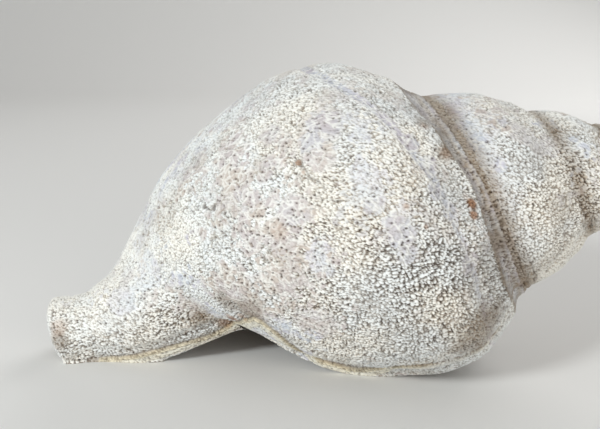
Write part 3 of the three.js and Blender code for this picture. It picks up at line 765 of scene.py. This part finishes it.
def scaled(tree, value, factor):
    found = tree.nodes.new("ShaderNodeMath")
    found.operation = "MULTIPLY"
    tree.links.new(value, found.inputs[0])
    found.inputs[1].default_value = factor
    return found.outputs[0]


def linear(red, green, blue):
    """A colour from its 0 to 255 values as shown on a screen."""
    def one(value):
        value = value / 255
        return value / 12.92 if value <= 0.04045 else ((value + 0.055) / 1.055) ** 2.4
    return one(red), one(green), one(blue)


def varied(tree, value, low, high, colours):
    """A soft variation between two colours."""
    first, second = colours
    return mix(tree, ramp(tree, value, low, high), linear(*first), linear(*second))


def over(tree, colour, mask, most, upper):
    """A colour with another laid over it where a mask of the mesh is on, up to a share."""
    return mix(tree, scaled(tree, attribute(tree, mask), most), colour, upper)


def add_bump(tree, shader, height, strength, distance):
    bump = tree.nodes.new("ShaderNodeBump")
    bump.inputs["Strength"].default_value = strength
    bump.inputs["Distance"].default_value = distance
    tree.links.new(height, bump.inputs["Height"])
    tree.links.new(bump.outputs["Normal"], shader.inputs["Normal"])


def crust_material():
    material, tree, shader = node_material("crust_of_the_shell")
    where = tree.nodes.new("ShaderNodeTexCoord").outputs["Object"]
    wide, patchy = noise(tree, 45, 3, where), noise(tree, 160, 3, where)
    grainy = noise(tree, 1500, 2, where)
    white = varied(tree, wide, 0.38, 0.62, WHITES)
    dull = ramp(tree, attribute(tree, "chance"), 0.75, 1.0, 0.0, 0.3)
    white = mix(tree, dull, white, linear(*DULL_WHITE))
    pink, blue = (varied(tree, patchy, 0.4, 0.62, colours) for colours in (PINKS, BLUES))
    tint = mix(tree, attribute(tree, "bluish"), pink, blue)
    colour = over(tree, white, "bare", 0.95, tint)
    colour = over(tree, colour, "ridge", 0.8, linear(*RIDGE_WHITE))
    # Painted shade, with some brown tone and staining: a brown film over the sutures, the ramp,
    # hollows and low places.
    colour = over(tree, colour, "brown_and_shade", 0.8, linear(*BROWN_FILM_AND_SHADE))
    colour = over(tree, colour, "cream", 0.8, linear(*CREAM))
    # Painted shade: brown in the crevices and grooves.
    brown_and_shade = varied(tree, wide, 0.4, 0.6, CREVICE_SHADE_BROWNS)
    colour = mix(tree, ramp(tree, attribute(tree, "crevice"), 0.4, 0.9, 0.0, 0.5), colour, brown_and_shade)
    # Rust, and painted shade in the hollow by the notch.
    colour = over(tree, colour, "stain_and_shade", 0.85, linear(*RUST_AND_SHADE))
    # Painted shade: dark in pits, holes and cracks.
    colour = over(tree, colour, "hole_shade", 0.85, linear(*HOLE_SHADE))
    tree.links.new(colour, shader.inputs["Base Color"])
    tree.links.new(ramp(tree, grainy, 0.3, 0.7, 0.72, 0.95), shader.inputs["Roughness"])
    shader.inputs["Specular IOR Level"].default_value = 0.3
    add_bump(tree, shader, grainy, 0.35, 0.0002)
    return material


def inside_material():
    material, tree, shader = node_material("inside_of_the_shell")
    where = tree.nodes.new("ShaderNodeTexCoord").outputs["Object"]
    wide, fine = noise(tree, 30, 3, where), noise(tree, 420, 4, where)
    colour = varied(tree, wide, 0.35, 0.65, INSIDE_PALES)
    colour = mix(tree, ramp(tree, fine, 0.5, 0.75, 0.0, 0.45), colour, linear(*INSIDE_BROWN))
    tree.links.new(colour, shader.inputs["Base Color"])
    tree.links.new(ramp(tree, fine, 0.3, 0.7, 0.5, 0.75), shader.inputs["Roughness"])
    add_bump(tree, shader, fine, 0.4, 0.0004)
    return material


crust_look = crust_material()
inside_look = inside_material()
for name, *extent in SHEETS:
    make_crust(name, *extent, crust_look)

# ---------------------------------------------------------------- the inside and the tip
# Those faces of the solid that aren't on its outside, nor under it on the floor. A face is on
# the outside if its middle and three more spots are near the outside and face the same way.
CHECK_STEP, CHECK_MIDDLE, CHECK_CORNER = 2.2, 0.3, 0.7
ON_OUTSIDE, SAME_WAY, ON_FLOOR = 1.7, 0.55, 0.01
APEX_FROM = 80.0
# The apex's cut faces get even shares of the painted shade masks.
TIP_BROWN_AND_SHADE, TIP_CREVICE_SHADE = 0.5, 0.45
test_points, test_triangles = [], []
for _, *extent, _ in SHEETS:
    row, turn, triangles = sheet(*extent, CHECK_STEP)
    test_triangles.append(triangles + sum(map(len, test_points)))
    test_points.append(outside_place(row, turn))
shape = BVHTree.FromPolygons([tuple(p) for p in np.concatenate(test_points)],
                             [tuple(int(v) for v in t) for t in np.concatenate(test_triangles)])
first, second, third = (node_points[node_triangles[:, k]] for k in range(3))
sides = np.cross(second - first, third - first)
sides /= np.linalg.norm(sides, axis=1, keepdims=True) + TINY
inner_triangles = []
for triangle, side in zip(node_triangles, sides):
    corners = node_points[triangle]
    if corners[:, 2].max() < ON_FLOOR:
        continue
    middle = corners.mean(0)
    spots = [middle] + [CHECK_CORNER * corner + CHECK_MIDDLE * middle for corner in corners]
    found = [shape.find_nearest(spot) for spot in spots]
    if any(f[3] > ON_OUTSIDE or abs(f[1].dot(Vector(side))) < SAME_WAY for f in found):
        inner_triangles.append(triangle)
inner_triangles = np.array(inner_triangles)
at_apex = node_points[inner_triangles].mean(1)[:, 0] > APEX_FROM
for name, some, look in (("crust_apex", inner_triangles[at_apex], crust_look),
                         ("aperture_inside", inner_triangles[~at_apex], inside_look)):
    used, inverse = np.unique(some, return_inverse=True)
    masks = {"brown_and_shade": np.full(len(used), TIP_BROWN_AND_SHADE), "crevice": np.full(len(used), TIP_CREVICE_SHADE)}
    add_piece(to_mesh(name, node_points[used], inverse.reshape(-1, 3), masks), look)

# ---------------------------------------------------------------- floor, light and camera
# Lengths from here to the camera are in metres.
FLOOR_FRONT, FLOOR_BACK, FLOOR_HALF_WIDTH, FLOOR_TOP = -2.0, 0.9, 3.0, 2.5
CURVE_RADIUS, CURVE_STEPS, FLOOR_DROP = 0.5, 12, 0.00005
FLOOR_COLOUR, FLOOR_ROUGHNESS = (0.8, 0.79, 0.77, 1), 0.8
LIGHT_AIM = (0, 0, 0.04)
# Name, place, size, power and colour.
LIGHTS = [
    ("back", (0.5, 0.9, 0.7), 0.8, 5.0, (1.0, 1.0, 1.0)),
    ("key", (-0.68, -0.72, 0.52), 0.22, 7.0, (0.94, 0.985, 1.0)),
    ("fill", (0.4, -0.85, 0.12), 0.8, 4.0, (1.0, 0.96, 0.9)),
]
WORLD_COLOUR, WORLD_STRENGTH = (0.96, 0.97, 0.97, 1), 0.39
CLIP_START = 0.01


def stage_plane():
    """A plain pale floor that curves up behind."""
    profile = [(FLOOR_FRONT, 0.0), (FLOOR_BACK, 0.0)]
    for k in range(1, CURVE_STEPS + 1):
        angle = math.pi / 2 * k / CURVE_STEPS
        profile.append((FLOOR_BACK + CURVE_RADIUS * math.sin(angle),
                        CURVE_RADIUS * (1 - math.cos(angle))))
    profile.append((FLOOR_BACK + CURVE_RADIUS, FLOOR_TOP))
    places = [(x, y, z) for y, z in profile for x in (-FLOOR_HALF_WIDTH, FLOOR_HALF_WIDTH)]
    faces = [(2 * i, 2 * i + 1, 2 * i + 3, 2 * i + 2) for i in range(len(profile) - 1)]
    mesh = bpy.data.meshes.new("floor")
    mesh.from_pydata(places, [], faces)
    for face in mesh.polygons:
        face.use_smooth = True
    floor = bpy.data.objects.new("floor", mesh)
    floor.location.z = -FLOOR_DROP
    bpy.context.scene.collection.objects.link(floor)
    material, _, shader = node_material("pale_floor")
    shader.inputs["Base Color"].default_value = FLOOR_COLOUR
    shader.inputs["Roughness"].default_value = FLOOR_ROUGHNESS
    mesh.materials.append(material)


def area_light(name, place_of, size, power, colour):
    data = bpy.data.lights.new(name, "AREA")
    data.shape = "DISK"
    data.size = size
    data.energy = power
    data.color = colour
    light = bpy.data.objects.new(name, data)
    light.location = place_of
    aim = Vector(LIGHT_AIM) - Vector(place_of)
    light.rotation_euler = aim.to_track_quat("-Z", "Y").to_euler()
    bpy.context.scene.collection.objects.link(light)


stage_plane()
for light_values in LIGHTS:
    area_light(*light_values)

world = bpy.data.worlds.new("soft_light")
world.use_nodes = True
background = world.node_tree.nodes["Background"]
background.inputs["Color"].default_value = WORLD_COLOUR
background.inputs["Strength"].default_value = WORLD_STRENGTH
bpy.context.scene.world = world
bpy.context.scene.view_settings.view_transform = "Standard"

# The camera's distance and target are in mm.
CAMERA_DISTANCE, CAMERA_YAW, CAMERA_ELEVATION = 263.0, math.radians(-1.5), math.radians(12.5)
TARGET = Vector((-16.21, -4.16, 44.7))
FOCAL_PIXELS, IMAGE_WIDTH, SENSOR_WIDTH = 877.0, 600.0, 36.0
ahead = Vector((math.sin(CAMERA_YAW) * math.cos(CAMERA_ELEVATION),
                math.cos(CAMERA_YAW) * math.cos(CAMERA_ELEVATION),
                -math.sin(CAMERA_ELEVATION)))
camera_data = bpy.data.cameras.new("camera")
camera_data.sensor_fit = "HORIZONTAL"
camera_data.sensor_width = SENSOR_WIDTH
camera_data.lens = FOCAL_PIXELS / IMAGE_WIDTH * SENSOR_WIDTH
camera_data.clip_start = CLIP_START
camera = bpy.data.objects.new("camera", camera_data)
camera.location = (TARGET - CAMERA_DISTANCE * ahead) * MM
camera.rotation_euler = ahead.to_track_quat("-Z", "Y").to_euler()
bpy.context.scene.collection.objects.link(camera)
bpy.context.scene.camera = camera
